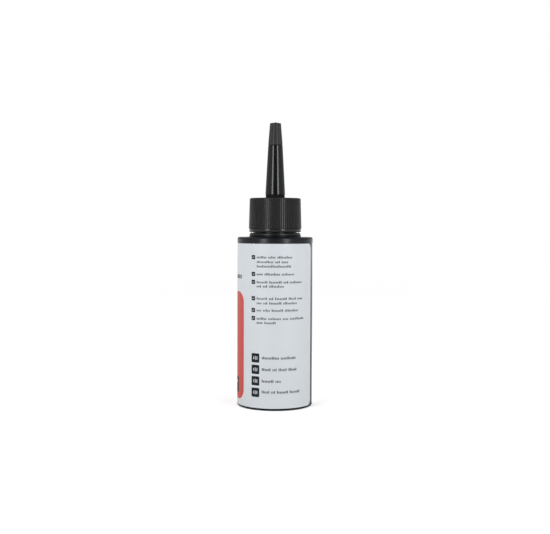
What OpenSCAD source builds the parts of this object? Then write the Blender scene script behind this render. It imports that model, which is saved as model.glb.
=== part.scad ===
// A small round bottle of chain lube. A blown body wears a wrap label and ends in a neck with a bead,
// a loose tamper band lies on its shoulder, and a ribbed screw cap carries a long tapered nozzle that a
// ribbed tip cap closes. The origin is the middle of the foot, +Z is up, and -Y is the side that bears
// the label's small print.

/* [Bottle] */
// Outside diameter of the body
body_d = 41; // [38:0.5:60]
// Height of the flat shoulder
shoulder_z = 91.6; // [80:0.2:140]
// Wall of the blown body
body_wall = 1; // [0.7:0.05:1.5]
// Round along the foot
foot_round = 1; // [0.6:0.1:1]
// Round along the shoulder's edge
shoulder_round = 1; // [0.5:0.1:1.6]
// Round in the corners inside the body
inner_round = 1.6; // [1:0.1:3]
// Width of the ring that the bottle stands on
stand_w = 3; // [2:0.2:5]
// Rise of the hollow under the foot
push_up = 2.4; // [1:0.1:4]
// Length of the seam that the mould pinched across the hollow
seam_l = 26; // [16:0.5:30]
// Width of that seam
seam_w = 0.8; // [0.4:0.1:1.2]
// Height of that seam
seam_h = 0.4; // [0.2:0.1:0.8]

/* [Neck] */
// Outside diameter of the neck at the root of its thread
neck_d = 21.8; // [20.6:0.1:22.2]
// Diameter over the thread, which the cap's skirt clears
thread_d = 24; // [23.6:0.1:26]
// Height of the neck above the shoulder
neck_h = 17.4; // [14:0.2:24]
// Wall of the neck
neck_wall = 2.3; // [1.8:0.1:3]
// Bevel on both edges of the neck's lip
lip_bevel = 0.4; // [0.2:0.1:0.6]
// Diameter of the bead that keeps the tamper band down
bead_d = 23.5; // [23.2:0.1:23.8]
// Height of the bead's flat underside above the shoulder
bead_z = 1.8; // [1.5:0.1:2.2]
// Thickness of the bead
bead_h = 1.4; // [1:0.1:1.8]
// Bevel on the bead's upper edge
bead_bevel = 0.6; // [0.3:0.1:0.8]

/* [Tamper band] */
// Height of the band
band_h = 2.2; // [1.8:0.1:2.6]
// Wall of the band
band_wall = 1.7; // [1.2:0.05:2]
// Gap between the band and the neck's bead
band_clear = 0.6; // [0.4:0.05:0.8]
// How much the band narrows towards its top, on the radius
band_taper = 0.35; // [0:0.05:0.6]
// Height of the part that narrows
band_taper_h = 1.8; // [0.8:0.1:1.8]
// Height of the snap lip inside the band's bottom
snap_h = 1; // [0.6:0.1:1.2]
// Slope on top of the snap lip
snap_slope = 0.4; // [0.2:0.1:0.5]
// Gap between the snap lip and the neck
snap_clear = 0.35; // [0.2:0.05:0.4]

/* [Screw cap] */
// Gap between the cap and the band that has broken away from it
band_gap = 0.5; // [0.3:0.1:1.5]
// Wall of the skirt at its lip
cap_wall = 1.6; // [1.2:0.1:2.4]
// Gap between the skirt and the thread
thread_clear = 0.45; // [0.3:0.05:0.6]
// How much the skirt narrows towards the cap's top, on the radius
cap_draft = 0.45; // [0.1:0.05:0.6]
// Number of ribs around the cap
cap_ribs = 80; // [48:4:96]
// Height of a rib
cap_rib_h = 0.25; // [0.2:0.05:0.4]
// Height of the plain lip below the ribs
cap_lip_h = 1.9; // [1.4:0.1:3]
// Round along the lip's lower edge
cap_lip_round = 0.7; // [0.4:0.1:1]
// Round along the lip's upper edge
cap_lip_edge = 0.2; // [0.1:0.05:0.3]
// Round along the cap's top edge
cap_round = 0.6; // [0.3:0.1:0.8]
// Thickness of the cap's top
cap_top_t = 1.6; // [1.2:0.1:2.4]

/* [Nozzle] */
// How far the flange stays inside the neck's outside edge
flange_inset = 0.2; // [0.1:0.1:0.8]
// Thickness of the flange
flange_h = 2; // [1.6:0.1:2.6]
// Length of the plug that seals in the neck
plug_l = 3.2; // [2:0.2:5]
// Wall of the plug
plug_wall = 1.1; // [0.8:0.1:1.4]
// Gap between the plug and the neck's bore
plug_clear = 0.1; // [0.05:0.05:0.2]
// Diameter of the hub that stands in the cap's hole
hub_d = 9.2; // [8.6:0.1:10]
// Gap between the hub and the hole
hub_clear = 0.3; // [0.2:0.05:0.35]
// Play of the cap between the nozzle's flange and collar
cap_float = 0.1; // [0.05:0.05:0.2]
// How far the collar reaches over the hole's edge
collar_grip = 0.4; // [0.15:0.05:0.6]
// Height of the collar
collar_h = 1.05; // [0.8:0.05:2]
// Depth of the groove above the collar
groove_depth = 0.15; // [0.1:0.05:0.5]
// Height of the groove
groove_h = 0.55; // [0.3:0.05:1]
// Diameter of the cone at its foot
cone_d = 10.82; // [10.2:0.02:12]
// Diameter of the cone at its top
cone_top_d = 7.84; // [7.3:0.02:8.6]
// Length of the cone
cone_l = 26.75; // [20:0.25:60]
// Bevel on the cone's two rims
cone_bevel = 0.35; // [0.2:0.05:0.5]
// Wall of the hub, which sets the channel's width at its wide end
hub_wall = 1.3; // [1:0.1:1.5]
// Wall of the cone at its top
cone_wall = 1.4; // [1.1:0.1:1.7]
// Diameter of the spigot that the tip cap closes
spigot_d = 3.7; // [3.3:0.1:3.8]
// Length of the spigot
spigot_l = 9.4; // [7:0.2:14]
// Wall of the spigot
spigot_wall = 0.8; // [0.6:0.05:0.9]
// Round on the spigot's end
spigot_round = 0.3; // [0.1:0.05:0.4]
// Diameter of the hole that the lube leaves by
orifice_d = 1.2; // [0.8:0.1:1.4]
// Length of that hole
orifice_l = 2; // [1.6:0.1:3]
// Length of the cone that leads into it
orifice_lead = 0.4; // [0.2:0.1:0.8]

/* [Tip cap] */
// How far the ribs stand proud of the cone's top rim
tip_proud = 0.08; // [0:0.02:0.2]
// Diameter over the ribs at the top
tip_top_d = 6; // [5.6:0.1:7]
// Thickness of the tip cap's closed end
tip_top_t = 2.35; // [1.4:0.05:4]
// Number of ribs around the tip cap
tip_ribs = 12; // [8:1:20]
// Height of a rib
tip_rib_h = 0.2; // [0.08:0.02:0.3]
// Round along the two edges
tip_round = 0.4; // [0.2:0.1:0.6]
// Gap between the spigot and its socket
socket_clear = 0.08; // [0.05:0.01:0.1]
// Gap above the spigot's end
socket_end = 0.3; // [0.2:0.1:0.6]
// Length of the pin that stops the hole
pin_l = 1.3; // [0.8:0.1:1.5]
// Gap between the pin and the hole
pin_clear = 0.08; // [0.05:0.01:0.1]
// Diameter of the moulding gate's stub
gate_d = 1.3; // [0.8:0.1:1.8]
// Diameter of the stub's torn end
gate_end_d = 0.6; // [0.3:0.1:0.8]
// Height of that stub
gate_h = 0.5; // [0.2:0.1:1]

/* [Label] */
// Bare foot below the film
label_foot = 1.3; // [1.2:0.1:4]
// Bare rim between the film and the shoulder
label_head = 3.3; // [2.1:0.1:8]
// Width of the bare strip between the film's two ends
strip_w = 9.8; // [2:0.1:20]
// Direction of the middle of that strip, counted from +X
strip_turn = -7; // [-60:1:60]
// Thickness of the film
film_t = 0.1; // [0.06:0.01:0.12]
// Round on the film's corners
label_corner = 3; // [1:0.5:6]
// Thickness of the adhesive under the film
adhesive_t = 0.02; // [0.01:0.01:0.03]
// Gap along the film's edges in its panel
panel_gap = 0.2; // [0.1:0.05:0.2]
// How far the film's face lies inside the body's bare foot and rim
panel_spare = 0.05; // [0.02:0.01:0.2]

/* [Hidden] */
$fn = 96;
BLACK = "#17181b";
GLOSS_BLACK = "#0f1012";
PALE_GREY = "#d3d9dc";

// Shares of a rib's pitch that its floor and its crest take
rib_floor = 0.42;
rib_crest = 0.42;
// Step of the points along a ribbed body's rounded edge
round_step = 45;
// Share by which a film corner's round is opened
corner_ease = 1.003;
// Length by which a cut passes through a surface, or a solid sinks into the one it joins
overlap = 0.5;

body_r = body_d / 2;
film_r = body_r - panel_spare;
panel_r = film_r - film_t - adhesive_t;
inner_r = panel_r - body_wall;
hollow_r = body_r - foot_round - stand_w;
dome_r = (hollow_r ^ 2 + push_up ^ 2) / (2 * push_up);
dome_z = push_up - dome_r;
label_h = shoulder_z - label_foot - label_head;

neck_r = neck_d / 2;
neck_bore_r = neck_r - neck_wall;
neck_top = shoulder_z + neck_h;
bead_r = bead_d / 2;
band_in_r = bead_r + band_clear;
band_out_r = band_in_r + band_wall;
snap_r = neck_r + snap_clear;

plug_r = neck_bore_r - plug_clear;
cap_deck_z = neck_top + flange_h + cap_float;
cap_top = cap_deck_z + cap_top_t;
cap_z = shoulder_z + band_h + band_gap;
rib_z = cap_z + cap_lip_h;
skirt_r = thread_d / 2 + thread_clear;
lip_r = skirt_r + cap_wall;
hole_r = hub_d / 2 + hub_clear;

collar_z = cap_top + cap_float;
collar_r = hole_r + collar_grip;
groove_z = collar_z + collar_h;
cone_z = groove_z + groove_h;
cone_top = cone_z + cone_l;
channel_r = hub_d / 2 - hub_wall;
channel_top_r = cone_top_d / 2 - cone_wall;
spigot_top = cone_top + spigot_l;
spigot_bore_r = spigot_d / 2 - spigot_wall;

socket_r = spigot_d / 2 + socket_clear;
socket_top = spigot_top + socket_end;
tip_top = socket_top + tip_top_t;
tip_r = cone_top_d / 2 + tip_proud;

// Half of a closed round body's section, with its own round at the bottom and at the top
module can_section(r, z0, z1, round_low, round_high) {
    translate([0, z0]) square([r - round_low, round_low]);
    translate([0, z0 + round_low]) square([r, z1 - z0 - round_low - round_high]);
    translate([0, z1 - round_high]) square([r - round_high, round_high]);
    intersection() {
        translate([0, z0]) square([r, z1 - z0]);
        union() {
            translate([r - round_low, z0 + round_low]) circle(round_low);
            translate([r - round_high, z1 - round_high]) circle(round_high);
        }
    }
}

// What a round of radius r takes off a corner that stands at the origin. The round crosses the two
// edges at a slight angle, where a true tangent would leave a sliver.
module spandrel(r) {
    difference() {
        translate([-overlap, -overlap]) square(r + overlap);
        translate([r, r]) circle(r * corner_ease);
    }
}

// The outline of a ring of n ribs: each pitch is a floor, a flank, a crest and a flank
function rib_outline(n, r_floor, r_crest) = [
    for (i = [0:n - 1], p = [[-rib_floor / 2, r_floor], [rib_floor / 2, r_floor],
        [0.5 - rib_crest / 2, r_crest], [0.5 + rib_crest / 2, r_crest]])
        let (a = (i + p[0]) * 360 / n) p[1] * [cos(a), sin(a)]
];

// [height, radius] along a rounded edge: up to a closed end at z, or up from one
function top_edge(r, z, size) =
    [for (a = [0:round_step:90]) [z - size + size * sin(a), r - size + size * cos(a)]];
function low_edge(r, z, size) =
    [for (a = [90:-round_step:0]) [z + size - size * sin(a), r - size + size * cos(a)]];

// A ribbed body that tapers: its outline, drawn at radius r, is scaled to each [height, radius] station
module ribbed_body(outline, r, stations) {
    n = len(outline);
    m = len(stations);
    rings = [for (s = stations, p = outline) [p.x * s[1] / r, p.y * s[1] / r, s[0]]];
    sides = [for (k = [0:m - 2], i = [0:n - 1]) let (j = (i + 1) % n)
        [k * n + i, (k + 1) * n + i, (k + 1) * n + j, k * n + j]];
    foot = [for (i = [0:n - 1]) [m * n, i, (i + 1) % n]];
    head = [for (i = [0:n - 1]) [m * n + 1, (m - 1) * n + (i + 1) % n, (m - 1) * n + i]];
    middles = [[0, 0, stations[0][0]], [0, 0, stations[m - 1][0]]];
    polyhedron(points = concat(rings, middles), faces = concat(sides, foot, head));
}

// The blown bottle: one even wall from the hollow foot to the flat shoulder, and the neck with its bead
module bottle() {
    color(GLOSS_BLACK) {
        rotate_extrude() difference() {
            union() {
                body_section();
                neck_section();
            }
            dome_section(0);
            difference() {
                can_section(inner_r, body_wall, shoulder_z - body_wall, inner_round, inner_round);
                dome_section(body_wall);
            }
            neck_bore_section();
        }
        pinch_seam();
    }
}

// The body's outside, with the shallow panel that the label lies in
module body_section() {
    difference() {
        can_section(body_r, 0, shoulder_z, foot_round, shoulder_round);
        translate([panel_r, label_foot - panel_gap]) square([body_r, label_h + 2 * panel_gap]);
    }
}

// The hollow under the foot, grown by a wall
module dome_section(grown) {
    translate([0, dome_z]) circle(dome_r + grown);
}

module neck_section() {
    polygon([[0, shoulder_z - body_wall], [neck_r, shoulder_z - body_wall], [neck_r, neck_top - lip_bevel],
        [neck_r - lip_bevel, neck_top], [0, neck_top]]);
    translate([0, shoulder_z + bead_z])
        polygon([[0, 0], [bead_r, 0], [bead_r, bead_h - bead_bevel], [bead_r - bead_bevel, bead_h],
            [0, bead_h]]);
}

module neck_bore_section() {
    polygon([[0, shoulder_z - 2 * body_wall], [neck_bore_r, shoulder_z - 2 * body_wall],
        [neck_bore_r, neck_top - lip_bevel], [neck_bore_r + lip_bevel, neck_top],
        [neck_bore_r + lip_bevel, neck_top + overlap], [0, neck_top + overlap]]);
}

// The line that the mould pinched, which hangs from the hollow's ceiling
module pinch_seam() {
    difference() {
        intersection() {
            translate([-seam_l / 2, -seam_w / 2, 0]) cube([seam_l, seam_w, push_up + body_wall]);
            translate([0, 0, dome_z]) sphere(dome_r + body_wall / 2);
        }
        translate([0, 0, dome_z]) sphere(dome_r - seam_h);
    }
}

// The film in its panel: it runs round the body, and its round-cornered ends leave a bare strip
module label() {
    color(PALE_GREY)
        difference() {
            rotate_extrude() translate([film_r - film_t, label_foot]) square([film_t, label_h]);
            rotate(strip_turn) translate([panel_r / 2, 0, label_foot]) rotate([90, 0, 90])
                linear_extrude(panel_r) strip_outline();
        }
}

module strip_outline() {
    translate([-strip_w / 2, -overlap]) square([strip_w, label_h + 2 * overlap]);
    for (side = [0, 1], level = [0, 1])
        mirror([side, 0]) translate([strip_w / 2, level * label_h]) mirror([0, level]) spandrel(label_corner);
}

// The broken-off band: it lies on the shoulder, and its snap lip can't pass the neck's bead
module tamper_band() {
    color(BLACK)
        translate([0, 0, shoulder_z]) rotate_extrude()
            polygon([[snap_r, 0], [band_out_r, 0], [band_out_r, band_h - band_taper_h],
                [band_out_r - band_taper, band_h], [band_in_r, band_h], [band_in_r, snap_h],
                [snap_r, snap_h - snap_slope]]);
}

// The cap: a plain lip, a ribbed skirt and a top with a hole for the nozzle's hub
module screw_cap() {
    crest_r = lip_r + cap_rib_h;
    crest_top_r = crest_r - cap_draft;
    core_r = crest_top_r - cap_rib_h - cap_round;
    color(BLACK)
        difference() {
            union() {
                rotate_extrude() {
                    can_section(lip_r, cap_z, rib_z, cap_lip_round, cap_lip_edge);
                    translate([0, rib_z - overlap]) square([core_r, cap_top - rib_z]);
                }
                ribbed_body(rib_outline(cap_ribs, lip_r, crest_r), crest_r,
                    concat([[rib_z, crest_r]], top_edge(crest_top_r, cap_top, cap_round)));
            }
            translate([0, 0, cap_z - overlap]) cylinder(h = cap_deck_z - cap_z + overlap, r = skirt_r);
            translate([0, 0, cap_z - overlap]) cylinder(h = cap_top - cap_z + 2 * overlap, r = hole_r);
        }
}

// The nozzle: plug, flange, hub, collar and groove, then the long cone with the spigot on its end
module nozzle() {
    color(GLOSS_BLACK)
        rotate_extrude() difference() {
            union() {
                translate([0, neck_top - plug_l]) square([plug_r, plug_l + overlap]);
                translate([0, neck_top]) square([neck_r - flange_inset, flange_h]);
                translate([0, neck_top]) square([hub_d / 2, collar_z - neck_top + overlap]);
                translate([0, collar_z]) square([collar_r, collar_h]);
                translate([0, collar_z]) square([collar_r - groove_depth, cone_z - collar_z + overlap]);
                cone_section();
                can_section(spigot_d / 2, cone_top - overlap, spigot_top, spigot_round, spigot_round);
            }
            channel_section();
        }
}

module cone_section() {
    foot_r = cone_d / 2;
    top_r = cone_top_d / 2;
    polygon([[0, cone_z], [foot_r - cone_bevel, cone_z], [foot_r, cone_z + cone_bevel],
        [top_r, cone_top - cone_bevel], [top_r - cone_bevel, cone_top], [0, cone_top]]);
}

// The way through the nozzle: wide in the plug, narrowing up the cone to the hole in the spigot's end
module channel_section() {
    orifice_z = spigot_top - orifice_l;
    polygon([[0, neck_top - plug_l - overlap], [plug_r - plug_wall, neck_top - plug_l - overlap],
        [plug_r - plug_wall, neck_top], [channel_r, neck_top + flange_h / 2],
        [channel_top_r, cone_top - 2 * cone_wall], [spigot_bore_r, cone_top - cone_wall],
        [spigot_bore_r, orifice_z - orifice_lead], [orifice_d / 2, orifice_z],
        [orifice_d / 2, spigot_top + overlap], [0, spigot_top + overlap]]);
}

// The tip cap: a ribbed thimble with its socket, the pin that stops the hole, and the gate's stub on top
module tip_cap() {
    color(BLACK) {
        difference() {
            ribbed_body(rib_outline(tip_ribs, tip_r - tip_rib_h, tip_r), tip_r,
                concat(low_edge(tip_r, cone_top, tip_round), top_edge(tip_top_d / 2, tip_top, tip_round)));
            translate([0, 0, cone_top - overlap]) cylinder(h = socket_top - cone_top + overlap, r = socket_r);
        }
        translate([0, 0, spigot_top - pin_l])
            cylinder(h = pin_l + socket_end + overlap, r = orifice_d / 2 - pin_clear);
        translate([0, 0, tip_top - overlap]) cylinder(h = gate_h + overlap, d1 = gate_d, d2 = gate_end_d);
    }
}

bottle();
label();
tamper_band();
screw_cap();
nozzle();
tip_cap();
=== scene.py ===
# %% [markdown]
# A small round bottle of chain lube: a glossy black bottle in a pale wrap label, a loose tamper band, a
# ribbed screw cap, and a long nozzle with its tip cap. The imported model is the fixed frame: it says where
# each part is and how it moves, and every piece made below stands where its own part of the frame stands.

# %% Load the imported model
from math import atan2, cos, hypot, pi, radians, sin, tau

import bmesh
import bpy
from mathutils import Matrix, Vector


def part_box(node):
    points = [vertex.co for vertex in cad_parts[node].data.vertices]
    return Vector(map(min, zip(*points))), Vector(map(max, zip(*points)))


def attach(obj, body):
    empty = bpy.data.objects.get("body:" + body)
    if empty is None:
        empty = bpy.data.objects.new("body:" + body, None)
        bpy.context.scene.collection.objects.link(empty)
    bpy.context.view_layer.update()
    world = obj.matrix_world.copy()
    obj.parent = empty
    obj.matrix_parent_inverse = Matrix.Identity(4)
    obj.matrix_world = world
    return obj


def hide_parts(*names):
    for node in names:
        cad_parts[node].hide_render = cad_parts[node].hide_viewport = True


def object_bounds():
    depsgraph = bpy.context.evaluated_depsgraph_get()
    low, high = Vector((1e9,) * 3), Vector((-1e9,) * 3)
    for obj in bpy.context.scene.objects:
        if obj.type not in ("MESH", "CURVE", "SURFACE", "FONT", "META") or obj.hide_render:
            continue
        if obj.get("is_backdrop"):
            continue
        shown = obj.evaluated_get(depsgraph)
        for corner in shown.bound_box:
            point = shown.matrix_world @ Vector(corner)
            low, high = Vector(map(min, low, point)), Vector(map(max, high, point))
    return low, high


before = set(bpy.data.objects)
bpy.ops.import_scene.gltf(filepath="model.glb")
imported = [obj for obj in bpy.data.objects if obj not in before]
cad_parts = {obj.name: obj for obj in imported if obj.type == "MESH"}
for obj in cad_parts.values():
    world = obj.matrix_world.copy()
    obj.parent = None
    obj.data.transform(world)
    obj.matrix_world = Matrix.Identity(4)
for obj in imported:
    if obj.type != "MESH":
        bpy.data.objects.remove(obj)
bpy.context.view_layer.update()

# %% [markdown]
# The picture was taken with a fairly long lens from a little above the bottle's middle, so the verticals
# hardly converge, but the foot bows down and the cap's top is seen from just below. A camera has to repeat
# distance, height and lens together, because each of the three bends the outline in its own way.

# %% Set up the camera
# Distances are in metres, the lens is in millimetres, and the two turns are in degrees.
CAMERA_DISTANCE = 0.524
CAMERA_HEIGHT = 0.0993
LENS = 63.0
LOOK_DOWN = 2.626
ROLL = 0.2

camera = bpy.data.objects.new("camera", bpy.data.cameras.new("camera"))
bpy.context.scene.collection.objects.link(camera)
camera.data.lens = LENS
tilt = Matrix.Rotation(radians(90 - LOOK_DOWN), 4, "X") @ Matrix.Rotation(radians(ROLL), 4, "Z")
camera.matrix_world = Matrix.Translation((0, -CAMERA_DISTANCE, CAMERA_HEIGHT)) @ tilt
bpy.context.scene.camera = camera
print("camera at", [round(c, 4) for c in camera.location])

# %% [markdown]
# A finish, and the light of the room too, is a small graph of shader nodes. It could be put together by
# hand in the shader editor. A script does it with one helper, which adds a node and fills its inputs, so
# that each graph below reads from top to bottom. Another helper tells what kind of ray is at work, because
# the camera and a reflection don't have to see the same backdrop.

# %% Helpers for shader nodes
def add_node(tree, kind, inputs=None, **settings):
    """Adds a shader node, sets its fields, and fills its inputs with values or with links from sockets."""
    node = tree.nodes.new("ShaderNode" + kind)
    for field, value in settings.items():
        setattr(node, field, value)
    for name, value in (inputs or {}).items():
        if isinstance(value, bpy.types.NodeSocket):
            tree.links.new(value, node.inputs[name])
        else:
            node.inputs[name].default_value = value
    return node


def math_node(tree, operation, *values):
    """The result of one Math node, whose inputs are numbers or sockets."""
    return add_node(tree, "Math", dict(enumerate(values)), operation=operation).outputs[0]


def seen_by(tree, *rays):
    """1 for the named kinds of rays and 0 for all others."""
    path = add_node(tree, "LightPath")
    share = path.outputs[rays[0]]
    for ray in rays[1:]:
        share = math_node(tree, "MAXIMUM", share, path.outputs[ray])
    return share


# %% [markdown]
# The studio is white all round, with a darker gap in front, where the camera stands. Glossy black plastic
# shows little but reflections, so the gap is what keeps the middle of the nozzle dark. Walls could be
# modelled, but a world shader gives the same reflections with no walls at all. Camera rays see plain white,
# and so do reflections where the backdrop is, behind the bottle and up to just above the horizon, which
# brightens the rims of the black parts.

# %% Paint the white room
ROOM_LIGHT = 0.43
GAP_LIGHT = 0.04
GAP_INNER = radians(20)
GAP_OUTER = radians(29)
BACKDROP_TURN = (radians(100), radians(130))
BACKDROP_RISE = (radians(1), radians(5))

world = bpy.data.worlds.new("studio")
bpy.context.scene.world = world
world.use_nodes = True
sky = world.node_tree
sky.nodes.clear()
direction = add_node(sky, "SeparateXYZ", {0: add_node(sky, "TexCoord").outputs["Generated"]})
toward = math_node(sky, "MULTIPLY", direction.outputs["Y"], -1.0)
turn = math_node(sky, "ABSOLUTE", math_node(sky, "ARCTAN2", direction.outputs["X"], toward))
gap = add_node(sky, "MapRange", {"Value": turn, "From Min": GAP_INNER, "From Max": GAP_OUTER,
                                 "To Min": GAP_LIGHT, "To Max": ROOM_LIGHT}, interpolation_type="SMOOTHSTEP")
behind = add_node(sky, "MapRange", {"Value": turn, "From Min": BACKDROP_TURN[0],
                                    "From Max": BACKDROP_TURN[1]}, interpolation_type="SMOOTHSTEP")
low_down = add_node(sky, "MapRange", {"Value": direction.outputs["Z"], "From Min": sin(BACKDROP_RISE[1]),
                                      "From Max": sin(BACKDROP_RISE[0])}, interpolation_type="SMOOTHSTEP")
backdrop = math_node(sky, "MULTIPLY", behind.outputs[0], low_down.outputs[0])
mirrored = math_node(sky, "MULTIPLY", seen_by(sky, "Is Glossy Ray"), backdrop)
white = math_node(sky, "MAXIMUM", seen_by(sky, "Is Camera Ray", "Is Transmission Ray"), mirrored)
strength = add_node(sky, "Mix", {"Factor": white, "A": gap.outputs["Result"], "B": 1.0})
background = add_node(sky, "Background", {"Color": (1, 1, 1, 1), "Strength": strength.outputs["Result"]})
add_node(sky, "OutputWorld", {"Surface": background.outputs[0]})
print("room:", ROOM_LIGHT, "gap:", GAP_LIGHT, "in", len(sky.nodes), "nodes")

# %% [markdown]
# Two tall soft boxes stand in front, one on each side of the camera, and draw the two bright lines on the
# nozzle. Two wide ones at the sides, which reflections don't see, light the label as evenly as the walls of
# a light tent would. A glowing mesh could serve as a soft box, but an area lamp gives the same light with
# less noise. Its energy is worked out from the brightness of its face, so a box keeps that when its size
# changes.

# %% Hang the soft boxes
FRONT_BOX = {"turn": radians(34.3), "distance": 0.9, "size": (0.255, 0.9), "radiance": 4.95}
SIDE_BOX = {"turn": radians(100), "distance": 1.0, "size": (0.8, 0.9), "radiance": 1.7}
BOX_HEIGHT = 0.2
AIM_HEIGHT = 0.1


def soft_box(side, turn, distance, size, radiance):
    """An area lamp on one side of the camera that faces the bottle."""
    lamp = bpy.data.lights.new("soft_box", "AREA")
    lamp.shape = "RECTANGLE"
    lamp.size, lamp.size_y = size
    lamp.energy = radiance * pi * size[0] * size[1]
    box = bpy.data.objects.new("soft_box", lamp)
    bpy.context.scene.collection.objects.link(box)
    place = Vector((side * sin(turn), -cos(turn), 0)) * distance + Vector((0, 0, BOX_HEIGHT))
    facing = (place - Vector((0, 0, AIM_HEIGHT))).to_track_quat("Z", "Y")
    box.matrix_world = Matrix.Translation(place) @ facing.to_matrix().to_4x4()
    box.visible_camera = False
    print("soft box:", round(lamp.energy, 2), "W at", [round(c, 2) for c in place])
    return box


for side in (-1, 1):
    soft_box(side, **FRONT_BOX)
    soft_box(side, **SIDE_BOX).visible_glossy = False

# %% [markdown]
# The floor is a wide white sheet that runs on into the white room. It could be left out, but then the bottle
# would hang in the air. It is white by its own colour, with a little glow for camera rays, so that the sheet
# itself goes to white while the bottle's soft shadow still shows around the foot. Its far part, where it
# meets the backdrop, glows in reflections as well.

# %% Lay the floor
FLOOR_REACH = 6.0
FLOOR_TONE = (0.88, 0.92)
MOTTLE_SCALE = 9.0
NEAR_GLOW = 0.5
FAR_GLOW = 0.72
FAR_FLOOR = (0.4, 2.0)

floor_finish = bpy.data.materials.new("floor_white")
floor_finish.use_nodes = True
tree = floor_finish.node_tree
tree.nodes.clear()
place = add_node(tree, "TexCoord").outputs["Object"]
mottle = add_node(tree, "TexNoise", {"Vector": place, "Scale": MOTTLE_SCALE})
tone = add_node(tree, "MapRange", {"Value": mottle.outputs[0], "To Min": FLOOR_TONE[0],
                                   "To Max": FLOOR_TONE[1]})
sheet = add_node(tree, "BsdfDiffuse", {"Color": tone.outputs[0]})
reach = add_node(tree, "VectorMath", {0: place}, operation="LENGTH")
far = add_node(tree, "MapRange", {"Value": reach.outputs["Value"], "From Min": FAR_FLOOR[0],
                                  "From Max": FAR_FLOOR[1]}).outputs[0]
mirrored = math_node(tree, "MULTIPLY", seen_by(tree, "Is Glossy Ray"), far)
shown = math_node(tree, "MAXIMUM", seen_by(tree, "Is Camera Ray", "Is Transmission Ray"), mirrored)
level = add_node(tree, "MapRange", {"Value": far, "To Min": NEAR_GLOW, "To Max": FAR_GLOW}).outputs[0]
shine = add_node(tree, "Emission", {"Strength": math_node(tree, "MULTIPLY", shown, level)})
both = add_node(tree, "AddShader", {0: sheet.outputs[0], 1: shine.outputs[0]})
add_node(tree, "OutputMaterial", {"Surface": both.outputs[0]})

bm = bmesh.new()
bmesh.ops.create_circle(bm, cap_ends=True, radius=FLOOR_REACH, segments=64)
mesh = bpy.data.meshes.new("floor")
bm.to_mesh(mesh)
bm.free()
mesh.materials.append(floor_finish)
floor = bpy.data.objects.new("floor", mesh)
bpy.context.scene.collection.objects.link(floor)
floor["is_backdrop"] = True
print("floor:", FLOOR_REACH * 2, "m across")

# %% [markdown]
# Every moulded part here is round, so one method serves them all: the corners of half a section are joined
# into a wire, the corners that are round on the real part are bevelled, and the wire is spun about the
# axis. Stacked cylinders would leave seams where they meet.

# %% Helper that turns a piece
WELD = 0.0005
SMALL_ROUND = 0.5
WIDE_ROUND = 3


def arc_steps(size):
    """Steps in a rounded corner: a wider one takes more of them to look smooth."""
    if size < SMALL_ROUND:
        return 3
    return 5 if size < WIDE_ROUND else 12


def lathe(corners, steps):
    """Spins a closed section of (radius, height, round) corners about the axis into a new bmesh."""
    bm = bmesh.new()
    wire = [bm.verts.new((radius, 0, height)) for radius, height, _ in corners]
    for here, there in zip(wire, wire[1:] + wire[:1]):
        bm.edges.new((here, there))
    for size in sorted({corner[2] for corner in corners if corner[2] > 0}):
        bmesh.ops.bevel(bm, geom=[v for v, corner in zip(wire, corners) if corner[2] == size],
                        offset=size, offset_type="OFFSET", affect="VERTICES", segments=arc_steps(size),
                        profile=0.5, material=-1)
    bmesh.ops.spin(bm, geom=bm.verts[:] + bm.edges[:], cent=(0, 0, 0), axis=(0, 0, 1), dvec=(0, 0, 0),
                   angle=tau, steps=steps, use_merge=True, use_normal_flip=False, use_duplicate=False)
    bmesh.ops.remove_doubles(bm, verts=bm.verts, dist=WELD)
    bmesh.ops.recalc_face_normals(bm, faces=bm.faces)
    return bm


# %% [markdown]
# Sizes are in millimetres while a piece is shaped, because a bevel loses its accuracy on lengths that are
# small fractions of a metre. A finished mesh is scaled down to metres, shaded smooth between its sharp
# edges, and given to the frame: it rides on a body, takes a material slot, and may replace a CAD node.

# %% Helper that finishes a piece
MM = 0.001
SHARP = radians(38)


def finish_piece(bm, name, body, finish, node=None):
    """Scales a mesh to metres, smooths it between its sharp edges, dresses it and gives it to the frame."""
    bmesh.ops.scale(bm, vec=(MM, MM, MM), verts=bm.verts)
    mesh = bpy.data.meshes.new(name)
    bm.to_mesh(mesh)
    bm.free()
    mesh.shade_smooth()
    mesh.set_sharp_from_angle(angle=SHARP)
    mesh.materials.append(finish)
    piece = bpy.data.objects.new(name, mesh)
    bpy.context.scene.collection.objects.link(piece)
    weighted = piece.modifiers.new("weighted normals", "WEIGHTED_NORMAL")
    weighted.keep_sharp = True
    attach(piece, body)
    if node:
        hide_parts(node)
    spans = []
    for i in (0, 2):
        along = [v.co[i] / MM for v in mesh.vertices]
        spans.append(f"{min(along):.2f} to {max(along):.2f}")
    print(f"{name}: {len(mesh.polygons)} faces, x {spans[0]}, z {spans[1]} mm")


# %% [markdown]
# No plastic is one even black. Each finish starts from the principled shader and breaks up its colour, its
# roughness and its surface with noise, whose grain is given in millimetres, as it would be measured on the
# part. Painted textures would have to be stored and unwrapped. Noise only needs the object's coordinates,
# and it stays on its piece when the piece moves.

# %% Helpers for the finishes
def new_finish(name, color, roughness, specular=0.5):
    """A material with its principled shader, object coordinates and plain starting values."""
    finish = bpy.data.materials.new(name)
    finish.use_nodes = True
    tree = finish.node_tree
    tree.nodes.clear()
    shader = add_node(tree, "BsdfPrincipled", {"Base Color": (*color, 1), "Roughness": roughness,
                                               "Specular IOR Level": specular})
    add_node(tree, "OutputMaterial", {"Surface": shader.outputs[0]})
    place = add_node(tree, "TexCoord").outputs["Object"]
    print("finish:", name)
    return finish, tree, shader, place


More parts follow.
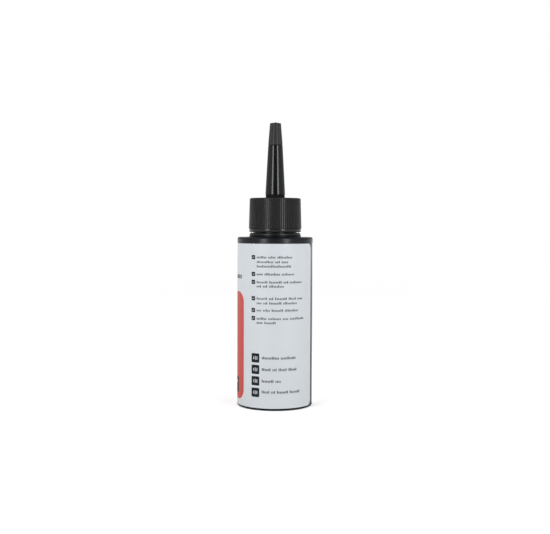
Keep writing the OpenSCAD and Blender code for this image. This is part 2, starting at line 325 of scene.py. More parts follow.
def noise(tree, place, grain, stretch=(1, 1, 1), detail=2.0):
    """Noise whose lumps are about grain millimetres across, stretched along the axes."""
    scaled = add_node(tree, "Mapping", {"Vector": place, "Scale": [1 / (grain * MM * s) for s in stretch]})
    lumps = add_node(tree, "TexNoise", {"Vector": scaled.outputs[0], "Scale": 1.0, "Detail": detail})
    return lumps.outputs[0]


def between(tree, value, low, high, start=0.3, end=0.7):
    """Maps a value from start to end onto a range of numbers or colours. Noise lies mostly in 0.3 to 0.7."""
    if isinstance(low, tuple):
        share = add_node(tree, "MapRange", {"Value": value, "From Min": start, "From Max": end}).outputs[0]
        ramp = add_node(tree, "Mix", {"Factor": share, "A": (*low, 1), "B": (*high, 1)}, data_type="RGBA")
        return ramp.outputs["Result"]
    return add_node(tree, "MapRange", {"Value": value, "From Min": start, "From Max": end,
                                       "To Min": low, "To Max": high}).outputs[0]


def height_in(tree, place):
    """The height above the foot, in metres."""
    return add_node(tree, "SeparateXYZ", {0: place}).outputs["Z"]


def above(tree, height, start, end):
    """0 below the first height and 1 above the second, both in millimetres."""
    return between(tree, height, 0.0, 1.0, start * MM, end * MM)


def roughen(tree, shader, height, depth):
    """Lets a noise lift the surface by up to depth millimetres."""
    bump = add_node(tree, "Bump", {"Height": height, "Distance": depth * MM, "Strength": 1.0})
    tree.links.new(bump.outputs[0], shader.inputs["Normal"])


# %% [markdown]
# The bottle is blown from black polyethylene. Its skin has a soft gloss, never a mirror: it keeps a faint
# orange peel from the mould and fine lines along the way the plastic was drawn. One noise gives the peel,
# which lifts the surface and varies the roughness. A second one, stretched upwards, varies the colour as the
# draw lines do.

# %% Finish of the blown bottle
blown_black, tree, shader, place = new_finish("blown_black", (0.006, 0.0075, 0.011), 0.3, specular=0.33)
peel = noise(tree, place, 1.6, detail=3.0)
draw = noise(tree, place, 0.7, stretch=(1, 1, 40))
drawn = between(tree, draw, (0.0045, 0.0058, 0.0095), (0.0075, 0.0088, 0.0125))
tree.links.new(drawn, shader.inputs["Base Color"])
tree.links.new(between(tree, peel, 0.23, 0.29), shader.inputs["Roughness"])
roughen(tree, shader, peel, 0.012)

# %% [markdown]
# The bottle stands on a ring round a hollow foot, has a shallow panel for the label, a flat shoulder with a
# soft edge, and a neck with the bead that holds the tamper band down. A cylinder with a Solidify modifier
# would do for an even wall, but the neck is thicker than the body. So the section has its inside and its
# outside, and one spin makes one hollow wall. The heights come from the frame's boxes.

# %% Turn the bottle
BODY_R = 20.5
PANEL_R = 20.33
PANEL_MARGIN = 0.2
FILM_R = 20.45
WALL = 1
WALL_R = PANEL_R - WALL
HOLLOW_R = 16.5
HOLLOW_H = 2.4
NECK_R = 10.9
BORE_R = 8.6
BEAD_R = 11.75
BODY_STEPS = 160

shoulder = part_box("tamper_band")[0].z / MM
neck_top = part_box("bottle")[1].z / MM
film_low, film_high = (corner.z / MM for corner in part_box("label"))
print("shoulder at", round(shoulder, 2), "neck top at", round(neck_top, 2))
print("film from", round(film_low, 2), "to", round(film_high, 2))

panel_low = film_low - PANEL_MARGIN
panel_high = film_high + PANEL_MARGIN
bead_low = shoulder + 1.8
bead_high = shoulder + 3.2
bm = lathe([
    (0, HOLLOW_H, 0), (HOLLOW_R / 2, HOLLOW_H, 8), (HOLLOW_R, 0, 0.25), (BODY_R, 0, 1),
    (BODY_R, panel_low, 0.03), (PANEL_R, panel_low, 0), (PANEL_R, panel_high, 0), (BODY_R, panel_high, 0.03),
    (BODY_R, shoulder, 1), (NECK_R, shoulder, 0.3), (NECK_R, bead_low, 0.1), (BEAD_R, bead_low, 0.1),
    (BEAD_R, bead_high, 0.6), (NECK_R, bead_high, 0.2), (NECK_R, neck_top, 0.4), (BORE_R, neck_top, 0.4),
    (BORE_R, shoulder - WALL, 0.6), (WALL_R, shoulder - WALL, 1.6), (WALL_R, WALL, 1.6),
    (HOLLOW_R + 0.1, WALL, 0.4), (HOLLOW_R / 2, HOLLOW_H + WALL, 8), (0, HOLLOW_H + WALL, 0)],
    steps=BODY_STEPS)
finish_piece(bm, "bottle_shell", "bottle", blown_black, node="bottle")

# %% [markdown]
# Under the foot runs the seam where the mould pinched the soft tube shut. A straight bar would cut through
# the hollow's curved ceiling. The ceiling is part of a big sphere, so a small section is spun about the
# sphere's middle instead, through the few degrees that the seam covers.

# %% Pinch seam under the foot
DOME_R = 57.92
SEAM_HALF = 13.0
SEAM_H = 0.7
SEAM_W = 0.8
SEAM_ROUND = 0.2

dome_middle = (0, 0, HOLLOW_H - DOME_R)
half_turn = SEAM_HALF / DOME_R
bm = bmesh.new()
bmesh.ops.create_grid(bm, x_segments=1, y_segments=1, size=0.5)
bmesh.ops.scale(bm, vec=(SEAM_H, SEAM_W, 1), verts=bm.verts)
bmesh.ops.bevel(bm, geom=bm.verts[:], offset=SEAM_ROUND, offset_type="OFFSET", affect="VERTICES", segments=2,
                profile=0.5, material=-1)
bmesh.ops.rotate(bm, cent=(0, 0, 0), matrix=Matrix.Rotation(radians(90), 3, "Y"), verts=bm.verts)
bmesh.ops.translate(bm, vec=(0, 0, HOLLOW_H), verts=bm.verts)
bmesh.ops.rotate(bm, cent=dome_middle, matrix=Matrix.Rotation(-half_turn, 3, "Y"), verts=bm.verts)
bmesh.ops.spin(bm, geom=bm.verts[:] + bm.edges[:] + bm.faces[:], cent=dome_middle, axis=(0, 1, 0),
               dvec=(0, 0, 0), angle=2 * half_turn, steps=16, use_merge=False, use_normal_flip=False,
               use_duplicate=False)
bmesh.ops.recalc_face_normals(bm, faces=bm.faces)
finish_piece(bm, "pinch_seam", "bottle", blown_black)

# %% [markdown]
# The cap runs on a coarse right-handed thread, one and a half turns that fade out at both ends. A thread is
# a small section that is spun and lifted at the same time, which is what spin does with a step along the
# axis. The Screw modifier does the same, but it can't fade the ends out. The cap's own thread, made with the
# cap, is the same helix half a pitch lower, so the two slide past each other.

# %% Thread of the neck
THREAD_PITCH = 3.175
TURNS = 1.5
TURN_STEPS = 48
FADE = 0.1
FADE_PAST = 0.04
LEAST_CREST = 0.05
THREAD_MIDDLE = 99.2


def thread(root, crest, base, top, middle):
    """A helical rib from radius root to crest, base wide at its root and top wide at its crest."""
    bm = bmesh.new()
    bmesh.ops.create_grid(bm, x_segments=1, y_segments=1, size=0.5)
    bmesh.ops.rotate(bm, cent=(0, 0, 0), matrix=Matrix.Rotation(radians(90), 3, "X"), verts=bm.verts)
    for v in bm.verts:
        outer = v.co.x > 0
        v.co = (crest if outer else root, 0, v.co.z * (top if outer else base))
    bmesh.ops.translate(bm, vec=(0, 0, middle), verts=bm.verts)
    steps = round(TURNS * TURN_STEPS)
    rise = THREAD_PITCH * TURNS
    bmesh.ops.spin(bm, geom=bm.verts[:] + bm.edges[:] + bm.faces[:], cent=(0, 0, 0), axis=(0, 0, 1),
                   dvec=(0, 0, rise / steps), angle=tau * TURNS, steps=steps, use_merge=False,
                   use_normal_flip=False, use_duplicate=False)
    for v in bm.verts:
        along = (v.co.z - middle) / rise
        share = max(LEAST_CREST, min(1, (along + FADE_PAST) / FADE, (1 + FADE_PAST - along) / FADE))
        radius = hypot(v.co.x, v.co.y)
        pulled = root + (radius - root) * share
        v.co.x, v.co.y = v.co.x * pulled / radius, v.co.y * pulled / radius
    bmesh.ops.recalc_face_normals(bm, faces=bm.faces)
    return bm


bm = thread(root=NECK_R - 0.1, crest=11.95, base=2.3, top=0.9, middle=THREAD_MIDDLE)
finish_piece(bm, "neck_thread", "bottle", blown_black)

# %% [markdown]
# The label is a pale satin film wrapped round the body, a little glossier than paper, with a very fine grain
# and a tone painted slightly darker towards the foot as painted shade. The height gives the fall, a wide
# noise clouds it, and a fine one gives the grain, so that the large pale field never looks like plain paint.

# %% Finish of the film
FILM_GRAIN = 0.22

film_pale, tree, shader, place = new_finish("film_pale", (0.69, 0.73, 0.76), 0.42)
# Painted shade: the film's colour is darker towards the foot and lighter towards the top.
tone = between(tree, height_in(tree, place), (0.692, 0.730, 0.757), (0.703, 0.742, 0.778), 0.0, 0.09)
cloud = between(tree, noise(tree, place, 9.0), 0.0, 0.12)
mottled = add_node(tree, "Mix", {"Factor": cloud, "A": tone, "B": (0.74, 0.77, 0.81, 1)}, data_type="RGBA")
tree.links.new(mottled.outputs["Result"], shader.inputs["Base Color"])
grain = noise(tree, place, FILM_GRAIN)
tree.links.new(between(tree, grain, 0.38, 0.48), shader.inputs["Roughness"])
roughen(tree, shader, grain, 0.004)

# %% [markdown]
# Four inks lie on the film: red, near black, grey and white. They differ only in their colours and their
# gloss, so one function makes them all. Screen ink is never quite even, and it is so thin that the film's
# own grain shows through it.

# %% Finishes of the inks
def ink(name, color, darker, roughness, specular=0.5):
    """A printed ink: its colour is a little uneven, and the film's grain shows through."""
    finish, tree, shader, place = new_finish(name, color, roughness, specular)
    uneven = noise(tree, place, 3.0, detail=4.0)
    tree.links.new(between(tree, uneven, darker, color), shader.inputs["Base Color"])
    grain = noise(tree, place, FILM_GRAIN)
    tree.links.new(between(tree, grain, roughness - 0.04, roughness + 0.05), shader.inputs["Roughness"])
    roughen(tree, shader, grain, 0.003)
    return finish


ink_red = ink("ink_red", (0.63, 0.068, 0.054), (0.58, 0.058, 0.046), 0.4)
ink_dark = ink("ink_dark", (0.013, 0.016, 0.021), (0.010, 0.012, 0.017), 0.38, specular=0.2)
ink_grey = ink("ink_grey", (0.090, 0.098, 0.115), (0.070, 0.077, 0.092), 0.42, specular=0.3)
ink_white = ink("ink_white", (0.78, 0.80, 0.82), (0.72, 0.74, 0.76), 0.42)

# %% [markdown]
# The real film was cut flat with rounded corners and rolled on, and it is made that way here, because small
# shapes are much easier to lay out on a flat sheet than on a round one. The sheet is cut into narrow strips
# so that it can bend, gets its thickness, has its faces turned outwards while it is still flat, and is then
# rolled on the body: a length along the sheet becomes an angle, and its thickness becomes a radius.

# %% Helpers that cut, thicken and roll the film
BEND_STEP = 1.25


def patch(bm, left, right, low, high, corner):
    """A flat patch between two lengths along the film and two heights, with rounded corners."""
    made = bmesh.ops.create_grid(bm, x_segments=1, y_segments=1, size=0.5)["verts"]
    bmesh.ops.scale(bm, vec=(right - left, high - low, 1), verts=made)
    bmesh.ops.translate(bm, vec=((left + right) / 2, (low + high) / 2, 0), verts=made)
    bmesh.ops.bevel(bm, geom=made, offset=corner, offset_type="OFFSET", affect="VERTICES",
                    segments=6 if corner > 1 else 2, profile=0.5, material=-1)


def mark(bm, left, middle, wide, tall, corner):
    """A flat patch that is placed by its left edge and by the height of its middle."""
    patch(bm, left, left + wide, middle - tall / 2, middle + tall / 2, corner)


def roll_on(bm, low, high):
    """Cuts flat patches into strips, thickens them from radius low to high, and rolls them on the body."""
    first = int(min(v.co.x for v in bm.verts) // BEND_STEP)
    last = int(max(v.co.x for v in bm.verts) // BEND_STEP) + 1
    for cut in range(first, last + 1):
        bmesh.ops.bisect_plane(bm, geom=bm.verts[:] + bm.edges[:] + bm.faces[:], dist=WELD,
                               plane_co=(cut * BEND_STEP, 0, 0), plane_no=(1, 0, 0))
    grown = bmesh.ops.extrude_face_region(bm, geom=bm.faces[:])["geom"]
    bmesh.ops.translate(bm, vec=(0, 0, high - low),
                        verts=[part for part in grown if isinstance(part, bmesh.types.BMVert)])
    bmesh.ops.recalc_face_normals(bm, faces=bm.faces)
    for v in bm.verts:
        turned, radius = v.co.x / FILM_R, low + v.co.z
        v.co = (radius * sin(turned), -radius * cos(turned), v.co.y)
    return bm


# %% [markdown]
# Lengths along the film are counted in millimetres from the line that faces the camera, positive to the
# right. The film isn't long enough to close: its two ends leave a bare black strip on the right, so it is
# one open sheet and not a ring.

# %% Roll on the film
BARE_MIDDLE = radians(83)
BARE_W = 9.8
FILM_THICK = 0.1
FILM_CORNER = 3

film_right = FILM_R * BARE_MIDDLE - BARE_W / 2
film_left = FILM_R * (BARE_MIDDLE - tau) + BARE_W / 2
bm = bmesh.new()
patch(bm, film_left, film_right, film_low, film_high, FILM_CORNER)
roll_on(bm, FILM_R - FILM_THICK, FILM_R)
finish_piece(bm, "wrap_label", "bottle", film_pale, node="label")
print("film is", round(film_right - film_left, 1), "mm long, cut flat")

# %% [markdown]
# The print is plain fields of colour. It could be drawn by the film's own material, but printed edges are
# crisper as geometry, and each ink can have its own gloss. So each colour is a thin layer, a few hundredths
# of a millimetre proud of the film, as screen printing leaves it. A large red field covers the front.

# %% Print the red field
INK_SUNK = 0.03
INK_PROUD = 0.015


def print_on(bm, name, finish, layers=1):
    """Rolls flat patches on the film as one ink, which lies over the inks that were printed before it."""
    roll_on(bm, FILM_R - INK_SUNK, FILM_R + layers * INK_PROUD)
    finish_piece(bm, name, "bottle", finish)


bm = bmesh.new()
patch(bm, left=-64.7, right=-19.3, low=4.5, high=62.5, corner=5.5)
print_on(bm, "print_red", ink_red)

# %% [markdown]
# The dark ink gives the tick boxes beside the small print, the squares under them and on the back, and the
# bars of a title on the front, whose second line ends in a row of small blocks. They are one colour, so they
# are one sheet. A dark plate at the foot of the red field is printed over the red, so it is a layer higher.

# %% Print the dark marks
TICK_BOXES = [81.2, 72.35, 68.15, 59.5, 53.25, 49.0]
TICK_LEFT = -13.2
SQUARES = [27.93, 21.8, 15.73, 9.6]
SQUARE_LEFT = -13.1
BACK_LEFT = -90.3
BACK_SQUARES = [BACK_LEFT + 6.2 * i for i in range(4)]
BACK_MIDDLE = 11.4
TITLE_LEFT = -61.0
TITLE_LOW = 69.4
TITLE_BLOCKS = 7

bm = bmesh.new()
for middle in TICK_BOXES:
    mark(bm, TICK_LEFT, middle, wide=2.25, tall=2.24, corner=0.35)
for middle in SQUARES:
    mark(bm, SQUARE_LEFT, middle, wide=4.75, tall=4.9, corner=0.5)
for left in BACK_SQUARES:
    mark(bm, left, BACK_MIDDLE, wide=4.8, tall=4.8, corner=0.5)
patch(bm, TITLE_LEFT, right=-31.6, low=76.6, high=81.4, corner=0.8)
patch(bm, TITLE_LEFT, right=-36.0, low=TITLE_LOW, high=72.6, corner=0.8)
for i in range(TITLE_BLOCKS):
    left = -34.5 + 1.92 * i
    patch(bm, left, left + 1.25, low=TITLE_LOW, high=71.6, corner=0.3)
print_on(bm, "print_dark", ink_dark)

bm = bmesh.new()
patch(bm, left=-59.4, right=-25.1, low=7.7, high=16.4, corner=0.8)
print_on(bm, "print_plate", ink_dark, layers=2)

# %% [markdown]
# White ink on the dark one gives a tick in each box and three upright strokes in each square. A tick is two
# straight strokes that cross at its lowest point, one short and one long, each turned by 45 degrees.

# %% Print the ticks and the strokes
TICK_STROKES = [(0.7, -45, 0.75, -0.22), (1.25, 45, 1.27, -0.02)]
TICK_STROKE_W = 0.19
SQUARE_STROKES = (1.5, 2.1, 1.8)


def stroke(bm, length, width, turned, where):
    """A short straight stroke through a point, turned from the horizontal."""
    made = bmesh.ops.create_grid(bm, x_segments=1, y_segments=1, size=0.5)["verts"]
    bmesh.ops.scale(bm, vec=(length, width, 1), verts=made)
    bmesh.ops.rotate(bm, cent=(0, 0, 0), matrix=Matrix.Rotation(radians(turned), 3, "Z"), verts=made)
    bmesh.ops.translate(bm, vec=(*where, 0), verts=made)


bm = bmesh.new()
for middle in TICK_BOXES:
    for length, turned, across, up in TICK_STROKES:
        stroke(bm, length, TICK_STROKE_W, turned, (TICK_LEFT + across, middle + up))
for left, middle in [(SQUARE_LEFT, z) for z in SQUARES] + [(left, BACK_MIDDLE) for left in BACK_SQUARES]:
    for i, tall in enumerate(SQUARE_STROKES):
        mark(bm, left + 1.15 + i, middle, wide=0.4, tall=tall, corner=0.15)
print_on(bm, "print_pale", ink_white, layers=2)

# %% [markdown]
# The front carries a drop and a piece of chain, the plain signs for a chain lube. The drop is a square that
# stands on its corner and has its three lower corners rounded. A link is a pill with a smaller pill cut out
# of it, which an inset makes. Plain bars stand over and under the chain, and on the plate.

# %% Print the drop, the chain and the bars
FRONT_MIDDLE = -42.0
DROP_SIDE = 13.0
DROP_MIDDLE = 46.5
LINKS = 3
LINK_PITCH = 6.8
LINK_GAP = 0.8
LINK_MIDDLE = 28.0

chain_left = FRONT_MIDDLE - LINKS / 2 * LINK_PITCH + LINK_GAP / 2
bm = bmesh.new()
corners = bmesh.ops.create_grid(bm, x_segments=1, y_segments=1, size=DROP_SIDE / 2)["verts"]
bmesh.ops.rotate(bm, cent=(0, 0, 0), matrix=Matrix.Rotation(radians(45), 3, "Z"), verts=corners)
corners.sort(key=lambda v: v.co.y)
bmesh.ops.bevel(bm, geom=corners[:3], offset=DROP_SIDE * 0.49, offset_type="OFFSET", affect="VERTICES",
                segments=8, profile=0.5, material=-1)
bmesh.ops.translate(bm, vec=(FRONT_MIDDLE, DROP_MIDDLE, 0), verts=bm.verts)
for i in range(LINKS):
    known = set(bm.faces)
    mark(bm, chain_left + i * LINK_PITCH, LINK_MIDDLE, wide=LINK_PITCH - LINK_GAP, tall=3.6, corner=1.75)
    link = [face for face in bm.faces if face not in known]
    bmesh.ops.inset_region(bm, faces=link, thickness=0.75, use_boundary=True, use_even_offset=True)
    bmesh.ops.delete(bm, geom=link, context="FACES")
for low, right in ((33.4, -32.2), (21.4, -36.0)):
    patch(bm, chain_left, right, low, high=low + 1.3, corner=0.5)
print_on(bm, "print_signs", ink_white, layers=2)

bm = bmesh.new()
for low, right in ((12.8, -27.5), (9.7, -33.0)):
    patch(bm, -57, right, low, high=low + 1.4, corner=0.5)
print_on(bm, "print_plate_bars", ink_white, layers=3)

# %% [markdown]
# The small print says nothing: each line is a row of words, and each word is a row of small upright blocks,
# some of them taller, so that it has the tone and the rhythm of print. Plain bars would be simpler, but they
# look like bars even from afar.

# %% Helper for rows of small blocks
WORD_GAP = 0.8
BLOCK = 0.8
BLOCK_GAP = 0.28
BLOCK_RISES = [0, 0, 0.4, 0, 0, 0, 0.35, 0, 0.4, 0, 0]
RISE_STRIDE = 7


def small_print(bm, left, rows, tall):
    """Rows of words, each with its level and its lengths; a word is a row of small upright blocks."""
    for middle, lengths in rows:
        at = left
        for length in lengths:
            count = round(length / BLOCK)
            step = length / count
            for i in range(count):
                rise = BLOCK_RISES[(RISE_STRIDE * i + count) % len(BLOCK_RISES)]
                patch(bm, at + i * step, at + (i + 1) * step - BLOCK_GAP, middle - tall / 2,
                      middle + tall / 2 + rise, corner=0.12)
            at += length + WORD_GAP


# %% [markdown]
# Beside the boxes and the squares, each row has its own height and the lengths of its words. The column on
# the back takes its words in turn from a short list, and every sixth of its rows is a short one, which sets
# it in paragraphs.

# %% Print the rows of small blocks
TEXT_LEFT = -9.95
TEXT_H = 0.9
ROWS = [(81.05, [5.6, 4.0, 8.2]), (78.6, [9.3, 2.6, 3.6]), (76.3, [18.9]), (72.15, [3.6, 8.4, 7.0]),
        (67.95, [6.2, 6.7, 2.8, 7.6]), (65.75, [2.7, 2.6, 8.0]), (59.3, [6.0, 2.5, 6.5, 4.5, 3.5]),
        (56.9, [3.0, 2.4, 6.6, 8.0]), (53.1, [2.9, 3.8, 6.2, 7.8]), (48.75, [5.7, 6.9, 3.2, 9.0]),
        (46.55, [3.6, 6.2])]
SQUARE_TEXT_LEFT = -6.93
SQUARE_TEXT_H = 1.1
SQUARE_ROWS = [(27.95, [9.4, 8.6]), (21.8, [5.0, 2.4, 4.6, 5.0]), (15.65, [6.6, 3.0]),
               (9.9, [4.4, 2.2, 6.2, 6.2])]
BACK_ROWS = 25
BACK_TOP = 82
BACK_PITCH = 2.5
BACK_REACH = 22
BACK_SHORT = 12
BACK_WORDS = [5.2, 3.4, 7.8, 2.6, 6.1, 4.4, 3.0, 8.3, 2.4, 5.7, 4.9]


def back_words(first, reach):
    """Word lengths from the list for the back, from the first on, as many as fit in the reach."""
    lengths = []
    while sum(lengths) + WORD_GAP * len(lengths) + BACK_WORDS[first % len(BACK_WORDS)] < reach:
        lengths.append(BACK_WORDS[first % len(BACK_WORDS)])
        first += 1
    return lengths


back_column = []
for i in range(BACK_ROWS):
    reach = BACK_SHORT if i % 6 == 5 else BACK_REACH
    back_column.append((BACK_TOP - BACK_PITCH * i, back_words(3 * i, reach)))

bm = bmesh.new()
small_print(bm, TEXT_LEFT, ROWS, TEXT_H)
small_print(bm, SQUARE_TEXT_LEFT, SQUARE_ROWS, SQUARE_TEXT_H)
small_print(bm, BACK_LEFT, back_column, TEXT_H)
print_on(bm, "print_grey", ink_grey)
print("small print:", len(ROWS) + len(SQUARE_ROWS) + BACK_ROWS, "rows")

# %% [markdown]
# The cap and the tip are injection moulded and ribbed. Hands rub the crests of the ribs smoother and leave
# the grooves dull, and the grooves are painted darker than the crests, as painted shade between the ribs.
# The wear and the shade could be painted on by hand, but the shape itself says where they go: the distance
# from the axis tells a crest from a groove, at the draft that the wall has at that height.

# %% Helper that tells the crests from the grooves
def crest_share(tree, place, low, high, foot_r, top_r, start, end):
    """0 on the grooves' floor, whose radius goes from foot_r to top_r, and 1 at end or more above it."""
    floor_here = add_node(tree, "MapRange", {"Value": height_in(tree, place), "From Min": low * MM,
                                             "From Max": high * MM, "To Min": foot_r * MM,
                                             "To Max": top_r * MM}).outputs[0]
    across = add_node(tree, "VectorMath", {0: place, 1: (1, 1, 0)}, operation="MULTIPLY").outputs[0]
    radius = add_node(tree, "VectorMath", {0: across}, operation="LENGTH").outputs["Value"]
    proud = math_node(tree, "SUBTRACT", radius, floor_here)
    return between(tree, proud, 0.0, 1.0, start * MM, end * MM)


# %% [markdown]
# The cap's black is a little greyer and duller than the bottle's, with the fine eroded grain of the tool.
# The lip below the ribs was polished in the mould. Height and crest share are mixed to give each zone its
# own roughness and gloss. That needs no second material, and the zones run into each other as on the real
# part.

# %% Finish of the cap
LIP_H = 1.9
RIB_FOOT_R = 14.05
RIB_TOP_R = 13.6

cap_low, cap_high = (corner.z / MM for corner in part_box("screw_cap"))
rib_low = cap_low + LIP_H
cap_black, tree, shader, place = new_finish("cap_black", (0.021, 0.0212, 0.0218), 0.3)
eroded = noise(tree, place, 0.16, detail=3.0)
height = height_in(tree, place)
on_lip = between(tree, height, 1.0, 0.0, (rib_low - 0.15) * MM, (rib_low + 0.05) * MM)
on_wall = above(tree, height, cap_low + 0.4, cap_low + 0.6)
on_top = above(tree, height, cap_high - 0.6, cap_high - 0.3)
crest = crest_share(tree, place, rib_low, cap_high, RIB_FOOT_R, RIB_TOP_R, 0.03, 0.2)
# Painted shade: the grooves get a darker black than the crests and the top edge, which stands in for the
# shade between the ribs. The crests' lower roughness is wear.
crest_wear_and_painted_light = math_node(tree, "MAXIMUM", crest, on_top)
tone_and_groove_shade = between(tree, crest_wear_and_painted_light, (0.021, 0.0212, 0.0218), (0.0255, 0.0257, 0.0263), 0.0, 1.0)
tree.links.new(tone_and_groove_shade, shader.inputs["Base Color"])
dull = between(tree, eroded, 0.42, 0.54)
smooth = between(tree, eroded, 0.2, 0.27)
ribbed = add_node(tree, "Mix", {"Factor": crest_wear_and_painted_light, "A": dull, "B": smooth}).outputs[0]
polish = add_node(tree, "Mix", {"Factor": on_lip, "A": ribbed, "B": 0.16}).outputs[0]
tree.links.new(polish, shader.inputs["Roughness"])
polished_lip = math_node(tree, "MULTIPLY", on_lip, on_wall)
shiny = math_node(tree, "MAXIMUM", crest_wear_and_painted_light, polished_lip)
tree.links.new(between(tree, shiny, 0.12, 0.32, 0.0, 1.0), shader.inputs["Specular IOR Level"])
roughen(tree, shader, eroded, 0.004)

# %% [markdown]
# The tamper band broke away from the cap when the bottle was first opened. It lies loose on the shoulder.
# Its skin is the plain dull one of the mould, but its top edge shines, because the cap's lip has turned on
# it, so its gloss follows the height.

# %% Finish of the tamper band
band_black, tree, shader, place = new_finish("band_black", (0.010, 0.0105, 0.0115), 0.38)
eroded = noise(tree, place, 0.2, detail=3.0)
mottled = between(tree, eroded, (0.0055, 0.006, 0.007), (0.0085, 0.009, 0.010))
tree.links.new(mottled, shader.inputs["Base Color"])
tree.links.new(between(tree, eroded, 0.3, 0.4), shader.inputs["Roughness"])
edge_shine = between(tree, height_in(tree, place), 0.12, 0.6, (shoulder + 1.15) * MM, (shoulder + 1.5) * MM)
tree.links.new(edge_shine, shader.inputs["Specular IOR Level"])
roughen(tree, shader, eroded, 0.005)

# %% [markdown]
# The band narrows a little towards its top, has an inner lip that snaps under the neck's bead, and keeps the
# stubs of the thin bridges that tore. The ring is spun from its section. The stubs are short cones placed in
# a circle by a loop, sunk a little into the ring so that no gap can show under them.

# %% Turn the tamper band
BAND_R = 14.05
BAND_TOP_R = 13.7
BAND_BORE_R = 12.35
SNAP_R = 11.25
BRIDGES = 10
BRIDGE_R = 13.0
RING_STEPS = 128

band_top = shoulder + 2.2
bm = lathe([
    (SNAP_R, shoulder, 0.1), (BAND_R, shoulder, 0.2), (BAND_R, shoulder + 0.4, 0.3),
    (BAND_TOP_R, band_top, 0.55), (BAND_BORE_R, band_top, 0.2), (BAND_BORE_R, shoulder + 1, 0.1),
    (SNAP_R, shoulder + 0.6, 0.1)], steps=RING_STEPS)
for i in range(BRIDGES):
    turned = Matrix.Rotation((i + 0.3) * tau / BRIDGES, 4, "Z")
    bmesh.ops.create_cone(bm, cap_ends=True, cap_tris=False, segments=8, radius1=0.3, radius2=0.16,
                          depth=0.4, matrix=turned @ Matrix.Translation((BRIDGE_R, 0, band_top + 0.1)))
finish_piece(bm, "tamper_ring", "bottle", band_black, node="tamper_band")

# %% [markdown]
# The cap's skirt has eighty fine ribs that narrow with the skirt's draft, over a plain lip. An array of
# separate ribs would have to be joined to the skirt. Here the section is turned first, with six columns to
# each rib, and then each column is turned and drawn out to its place on the rib: two on the groove's floor,
# and steep sides up to a slightly arched crest. That keeps the ribs light, and they run out in the round of
# the top edge as moulded ribs do.

# %% Turn the cap and raise its ribs
CAP_RIBS = 80
CAP_RIB_H = 0.25
CAP_COLUMNS = [(0, 0), (0.215, 0), (0.285, 0.95), (0.5, 1), (0.715, 0.95), (0.785, 0)]
CAP_BORE_R = 12.45
LIP_R = 14.1
HUB_HOLE_R = 4.9
CAP_TOP_WALL = 1.6


def raise_ribs(bm, count, columns, rise, low, high, inner, fade):
    """Shapes the outer wall into ribs. Each column has its share of the rib's pitch and of its height."""
    for v in bm.verts:
        radius = hypot(v.co.x, v.co.y)
        if radius < inner or not low <= v.co.z <= high:
            continue
        column = round(atan2(v.co.y, v.co.x) / tau * count * len(columns))
        rib, which = divmod(column, len(columns))
        place, lift = columns[which]
        radius += rise * lift * min(1, (high - v.co.z) / fade)
        turned = (rib + place) / count * tau
        v.co.x, v.co.y = radius * cos(turned), radius * sin(turned)


bm = lathe([
    (CAP_BORE_R, cap_low, 0.3), (LIP_R, cap_low, 0.45), (LIP_R, rib_low - 0.1, 0.15), (13.9, rib_low, 0),
    (RIB_FOOT_R, rib_low + 0.05, 0), (RIB_TOP_R, cap_high, 0.6), (HUB_HOLE_R, cap_high, 0.15),
    (HUB_HOLE_R, cap_high - CAP_TOP_WALL, 0.15), (CAP_BORE_R, cap_high - CAP_TOP_WALL, 0.4)],
    steps=CAP_RIBS * len(CAP_COLUMNS))
raise_ribs(bm, CAP_RIBS, CAP_COLUMNS, CAP_RIB_H, low=rib_low + 0.02, high=cap_high, inner=13.0, fade=0.5)
finish_piece(bm, "cap_shell", "screw_cap", cap_black, node="screw_cap")

bm = thread(root=CAP_BORE_R + 0.1, crest=11.35, base=1.9, top=0.6, middle=THREAD_MIDDLE - THREAD_PITCH / 2)
finish_piece(bm, "cap_thread", "screw_cap", cap_black)

# %% [markdown]
# The nozzle is the glossiest part: a polished cone, over a duller collar and groove where the cap holds it.
# The plastic flowed up the cone, which a noise stretched sixtyfold upwards shows in the colour. A slow wave
# in the surface bends the two bright lines very slightly, as the shrinking of the plastic does.

# %% Finish of the nozzle
SPIGOT_H = 9.4
CONE_H = 26.75

spigot_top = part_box("nozzle")[1].z / MM
cone_top = spigot_top - SPIGOT_H
cone_low = cone_top - CONE_H
nozzle_black, tree, shader, place = new_finish("nozzle_black", (0.0085, 0.009, 0.010), 0.14)
flow = noise(tree, place, 0.5, stretch=(1, 1, 60))
wave = noise(tree, place, 2.4)
streaked = between(tree, flow, (0.006, 0.0065, 0.0075), (0.009, 0.0095, 0.0105))
tree.links.new(streaked, shader.inputs["Base Color"])
on_cone = above(tree, height_in(tree, place), cone_low - 0.1, cone_low + 0.1)
gloss = between(tree, wave, 0.10, 0.15)
polished = add_node(tree, "Mix", {"Factor": on_cone, "A": 0.5, "B": gloss}).outputs[0]
tree.links.new(polished, shader.inputs["Roughness"])
tree.links.new(between(tree, on_cone, 0.12, 0.5, 0.0, 1.0), shader.inputs["Specular IOR Level"])
roughen(tree, shader, wave, 0.0012)

# %% [markdown]
# The nozzle sits in the neck with a plug, rests on it with a flange, and ends in the thin spigot that the
# tip cap closes. The channel could be cut out with a boolean, but it is turned with the rest, from the wide
# mouth of the plug to the small outlet, so the hole in the spigot is a real one and its edges stay clean.

# %% Turn the nozzle
PLUG_R = 8.5
PLUG_BORE_R = 7.4
PLUG_H = 3.2
FLANGE_R = 10.7
FLANGE_H = 2
HUB_R = 4.6
COLLAR_R = 5.1
CONE_FOOT_R = 5.41
CONE_TOP_R = 3.92
SPIGOT_R = 1.85
CHANNEL_R = 1.05
OUTLET_R = 0.6

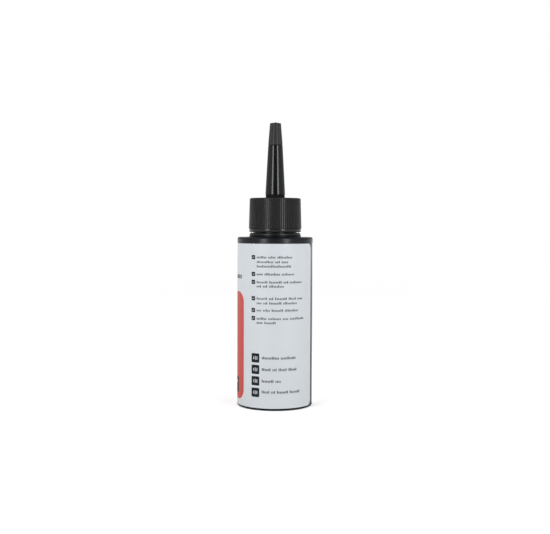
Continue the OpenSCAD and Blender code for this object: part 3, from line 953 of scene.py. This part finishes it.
flange_low = neck_top
flange_top = flange_low + FLANGE_H
collar_low = cone_low - 1.6
groove_low = cone_low - 0.55
bm = lathe([
    (PLUG_BORE_R, flange_low - PLUG_H, 0.2), (PLUG_R, flange_low - PLUG_H, 0.3), (PLUG_R, flange_low, 0),
    (FLANGE_R, flange_low, 0.2), (FLANGE_R, flange_top, 0.2), (HUB_R, flange_top, 0.2),
    (HUB_R, collar_low, 0.1), (COLLAR_R, collar_low, 0.1), (COLLAR_R + 0.2, groove_low, 0.2),
    (COLLAR_R, groove_low, 0.05), (COLLAR_R, cone_low, 0.1), (CONE_FOOT_R, cone_low, 0.3),
    (CONE_TOP_R, cone_top, 0.35), (SPIGOT_R, cone_top, 0.15), (SPIGOT_R, spigot_top, 0.3),
    (OUTLET_R, spigot_top, 0.1), (OUTLET_R, spigot_top - 2, 0.1), (CHANNEL_R, spigot_top - 2.4, 0.1),
    (CHANNEL_R, cone_top - 1.4, 0.2), (2.52, cone_top - 2.8, 0.2), (3.3, flange_low + 1, 0.5),
    (PLUG_BORE_R, flange_low, 0.5)], steps=RING_STEPS)
finish_piece(bm, "nozzle_body", "nozzle", nozzle_black, node="nozzle")

# %% [markdown]
# The tip cap is the dullest and greyest of the black parts, with a coarser grain than the cap's. Its grooves
# are painted darker than its ribs, as painted shade between the ribs, and the crest share gives that too.

# %% Finish of the tip cap
TIP_FOOT_R = 3.8
TIP_TOP_R = 2.82
GATE_H = 0.5

tip_low, tip_high = (corner.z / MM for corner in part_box("tip_cap"))
tip_top = tip_high - GATE_H
tip_black, tree, shader, place = new_finish("tip_black", (0.026, 0.0265, 0.028), 0.5)
eroded = noise(tree, place, 0.2, detail=3.0)
crest = crest_share(tree, place, tip_low, tip_top, TIP_FOOT_R, TIP_TOP_R, 0.02, 0.16)
uneven = between(tree, eroded, (0.026, 0.0265, 0.028), (0.034, 0.0345, 0.036))
# Painted shade: the grooves get a near black colour that stands in for the shade between the ribs, mixed
# with the tip's uneven tone on the ribs.
groove_shade_colour = (0.009, 0.0095, 0.0105, 1)
tone_and_groove_shade = add_node(tree, "Mix", {"Factor": crest, "A": groove_shade_colour, "B": uneven}, data_type="RGBA")
tree.links.new(tone_and_groove_shade.outputs["Result"], shader.inputs["Base Color"])
tree.links.new(between(tree, eroded, 0.42, 0.54), shader.inputs["Roughness"])
roughen(tree, shader, eroded, 0.01)

# %% [markdown]
# It is a small thimble with twelve soft ribs and the stub of its moulding gate on top. It is turned and
# ribbed as the cap is, with more columns to a rib, because its ribs are wide and round. The socket and the
# pin that stops the hole in the spigot belong to the same section, so they show when the tip is pulled off.

# %% Turn the tip cap
TIP_RIBS = 12
TIP_RIB_H = 0.2
TIP_COLUMNS = [(0, 0), (0.11, 0), (0.2, 0), (0.29, 0.9), (0.39, 1), (0.5, 1), (0.61, 1), (0.71, 0.9),
               (0.8, 0), (0.89, 0)]
SOCKET_R = 1.93
GATE_FOOT_R = 0.65
GATE_TOP_R = 0.3
PIN_R = 0.52

pin_low = spigot_top - 1.3
socket_top = spigot_top + 0.3
bm = lathe([
    (SOCKET_R, tip_low, 0.1), (TIP_FOOT_R, tip_low, 0.4), (TIP_TOP_R, tip_top, 0.4),
    (GATE_FOOT_R, tip_top, 0.1), (GATE_TOP_R, tip_high, 0.12), (0, tip_high, 0), (0, pin_low, 0),
    (PIN_R, pin_low, 0.1), (PIN_R, socket_top, 0), (SOCKET_R, socket_top, 0.2)],
    steps=TIP_RIBS * len(TIP_COLUMNS))
raise_ribs(bm, TIP_RIBS, TIP_COLUMNS, TIP_RIB_H, low=tip_low + 0.1, high=tip_top, inner=2.5, fade=0.4)
finish_piece(bm, "tip_shell", "tip_cap", tip_black, node="tip_cap")

# %% [markdown]
# The picture's colours are to come out as they were written, so the view transform is the plain one. The
# last lines measure the dressed model's box and print it in millimetres.

# %% Measure and finish
bpy.context.scene.view_settings.view_transform = "Standard"
low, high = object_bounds()
print("visual box in mm:", [round(side * 1000, 2) for side in high - low])
